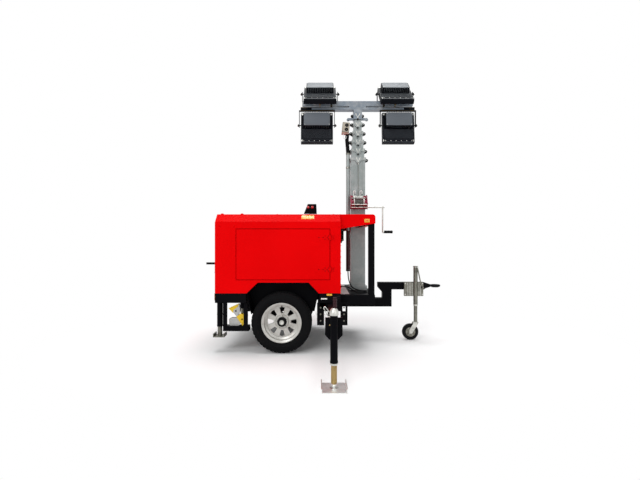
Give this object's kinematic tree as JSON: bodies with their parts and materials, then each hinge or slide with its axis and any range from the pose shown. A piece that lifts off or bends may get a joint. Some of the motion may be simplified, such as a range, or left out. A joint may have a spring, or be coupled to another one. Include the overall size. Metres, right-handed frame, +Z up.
{
  "type": "mobile light tower",
  "caption": "Towable light tower: red generator canopy on a braced trailer, outrigger jacks, telescopic square mast with tilting floodlights.",
  "frame": {"origin": "on the ground, in the middle of the tower's footprint with its outriggers out", "axes": "+X towards the towing eye, +Y to the left, +Z up"},
  "size_m": [2.53, 3.26, 2.9392],
  "materials": {
    "red_paint": "gloss powder coat",
    "black_paint": "satin black paint",
    "galvanised": "hot-dip galvanised",
    "zinc": "bright zinc",
    "lamp_black": "black anodised casting",
    "tyre": "matte rubber",
    "rim_silver": "silver wheel paint",
    "engine_grey": "painted casting",
    "winch_red": "dark red paint",
    "chock_yellow": "yellow plastic",
    "plug_grey": "light grey plastic",
    "grip_black": "ribbed plastic",
    "lamp_red": "red lamp lens",
    "cable_black": "rubber cable sheath"
  },
  "bodies": {
    "chassis": {"chassis_frame": "black_paint", "front_posts": "black_paint", "mudguards": "black_paint", "canopy_side_left": "red_paint", "canopy_side_right": "red_paint", "canopy_rear": "red_paint", "canopy_front": "red_paint", "roof": "red_paint", "roof_extension": "red_paint", "engine_block": "engine_grey", "axle_beam": "black_paint", "mast_base": "galvanised", "winch": "winch_red", "outrigger_housings": "black_paint", "rear_jack_tubes": "black_paint", "rear_cranks": "grip_black", "chock_carriers": "black_paint", "wheel_chocks": "chock_yellow", "drawbar": "black_paint", "towing_eye": "black_paint", "jockey_clamp": "zinc", "jockey_tube": "zinc", "cable_tube": "galvanised", "plug_box": "plug_grey", "exhaust_cowl": "black_paint", "tail_lamps": "lamp_red", "socket_box": "grip_black", "mast_cable": "cable_black", "cable_gland": "grip_black"},
    "door_left": {"door_left": "red_paint"},
    "door_right": {"door_right": "red_paint"},
    "wheel_left": {"tyre_left": "tyre", "rim_left": "rim_silver"},
    "wheel_right": {"tyre_right": "tyre", "rim_right": "rim_silver"},
    "mast_1": {"mast_section_1": "galvanised"},
    "mast_2": {"mast_section_2": "galvanised"},
    "mast_3": {"mast_section_3": "galvanised"},
    "mast_4": {"mast_section_4": "galvanised"},
    "mast_5": {"mast_section_5": "galvanised", "mast_head": "galvanised", "lamp_yokes": "black_paint"},
    "floodlight_upper_rear": {"lamp_upper_rear": "lamp_black"},
    "floodlight_upper_front": {"lamp_upper_front": "lamp_black"},
    "floodlight_lower_rear": {"lamp_lower_rear": "lamp_black"},
    "floodlight_lower_front": {"lamp_lower_front": "lamp_black"},
    "crank": {"winch_crank": "zinc"},
    "beam_left": {"outrigger_left": "black_paint"},
    "beam_right": {"outrigger_right": "black_paint"},
    "foot_left": {"outrigger_foot_left": "zinc"},
    "foot_right": {"outrigger_foot_right": "zinc"},
    "rear_leg_left": {"rear_foot_left": "zinc"},
    "rear_leg_right": {"rear_foot_right": "zinc"},
    "jockey_slide": {"jockey_leg": "zinc"},
    "jockey_swivel": {"jockey_fork": "zinc"},
    "jockey_roller": {"jockey_wheel": "tyre"}
  },
  "joints": [
    {"name": "door_left_hinge", "type": "hinge", "parent": "chassis", "child": "door_left", "pos_m": [-0.016, 0.629, 0.98], "axis": [0, 0, -1], "range_deg": [0, 110]},
    {"name": "door_right_hinge", "type": "hinge", "parent": "chassis", "child": "door_right", "pos_m": [-0.016, -0.629, 0.98], "axis": [0, 0, 1], "range_deg": [0, 110]},
    {"name": "wheel_left_spin", "type": "hinge", "parent": "chassis", "child": "wheel_left", "pos_m": [-0.495, 0.5575, 0.3], "axis": [0, 1, 0], "continuous": true},
    {"name": "wheel_right_spin", "type": "hinge", "parent": "chassis", "child": "wheel_right", "pos_m": [-0.495, -0.5575, 0.3], "axis": [0, 1, 0], "continuous": true},
    {"name": "mast_slide_1", "type": "slide", "parent": "chassis", "child": "mast_1", "axis": [0, 0, 1], "range_m": [0, 0.9]},
    {"name": "mast_slide_2", "type": "slide", "parent": "mast_1", "child": "mast_2", "axis": [0, 0, 1], "range_m": [0, 0.9]},
    {"name": "mast_slide_3", "type": "slide", "parent": "mast_2", "child": "mast_3", "axis": [0, 0, 1], "range_m": [0, 0.9]},
    {"name": "mast_slide_4", "type": "slide", "parent": "mast_3", "child": "mast_4", "axis": [0, 0, 1], "range_m": [0, 0.9]},
    {"name": "mast_slide_5", "type": "slide", "parent": "mast_4", "child": "mast_5", "axis": [0, 0, 1], "range_m": [0, 0.9]},
    {"name": "lamp_upper_rear_tilt", "type": "hinge", "parent": "mast_5", "child": "floodlight_upper_rear", "pos_m": [-0.1165, 0, 2.8], "axis": [-1, 0, 0], "range_deg": [-5, 40]},
    {"name": "lamp_upper_front_tilt", "type": "hinge", "parent": "mast_5", "child": "floodlight_upper_front", "pos_m": [0.7435, 0, 2.8], "axis": [-1, 0, 0], "range_deg": [-5, 40]},
    {"name": "lamp_lower_rear_tilt", "type": "hinge", "parent": "mast_5", "child": "floodlight_lower_rear", "pos_m": [-0.1515, 0, 2.44], "axis": [-1, 0, 0], "range_deg": [-6, 80]},
    {"name": "lamp_lower_front_tilt", "type": "hinge", "parent": "mast_5", "child": "floodlight_lower_front", "pos_m": [0.7785, 0, 2.44], "axis": [-1, 0, 0], "range_deg": [-6, 80]},
    {"name": "winch_crank_turn", "type": "hinge", "parent": "chassis", "child": "crank", "pos_m": [0.5, -0.156, 1.484], "axis": [1, 0, 0], "continuous": true},
    {"name": "outrigger_left_slide", "type": "slide", "parent": "chassis", "child": "beam_left", "axis": [0, -1, 0], "range_m": [0, 0.84]},
    {"name": "outrigger_left_jack", "type": "slide", "parent": "beam_left", "child": "foot_left", "axis": [0, 0, 1], "range_m": [0, 0.165]},
    {"name": "rear_left_jack", "type": "slide", "parent": "chassis", "child": "rear_leg_left", "axis": [0, 0, -1], "range_m": [0, 0.15]},
    {"name": "outrigger_right_slide", "type": "slide", "parent": "chassis", "child": "beam_right", "axis": [0, 1, 0], "range_m": [0, 0.84]},
    {"name": "outrigger_right_jack", "type": "slide", "parent": "beam_right", "child": "foot_right", "axis": [0, 0, 1], "range_m": [0, 0.165]},
    {"name": "rear_right_jack", "type": "slide", "parent": "chassis", "child": "rear_leg_right", "axis": [0, 0, -1], "range_m": [0, 0.15]},
    {"name": "jockey_height", "type": "slide", "parent": "chassis", "child": "jockey_slide", "axis": [0, 0, 1], "range_m": [0, 0.17]},
    {"name": "jockey_caster", "type": "hinge", "parent": "jockey_slide", "child": "jockey_swivel", "pos_m": [0.962, -0.079, 0.2], "axis": [0, 0, 1], "continuous": true},
    {"name": "jockey_spin", "type": "hinge", "parent": "jockey_swivel", "child": "jockey_roller", "pos_m": [0.901, -0.079, 0.09], "axis": [0, 1, 0], "continuous": true}
  ],
  "couplings": [
    {"joint": "mast_slide_2", "follows": "mast_slide_1", "ratio": 1},
    {"joint": "mast_slide_3", "follows": "mast_slide_1", "ratio": 1},
    {"joint": "mast_slide_4", "follows": "mast_slide_1", "ratio": 1},
    {"joint": "mast_slide_5", "follows": "mast_slide_1", "ratio": 1}
  ]
}
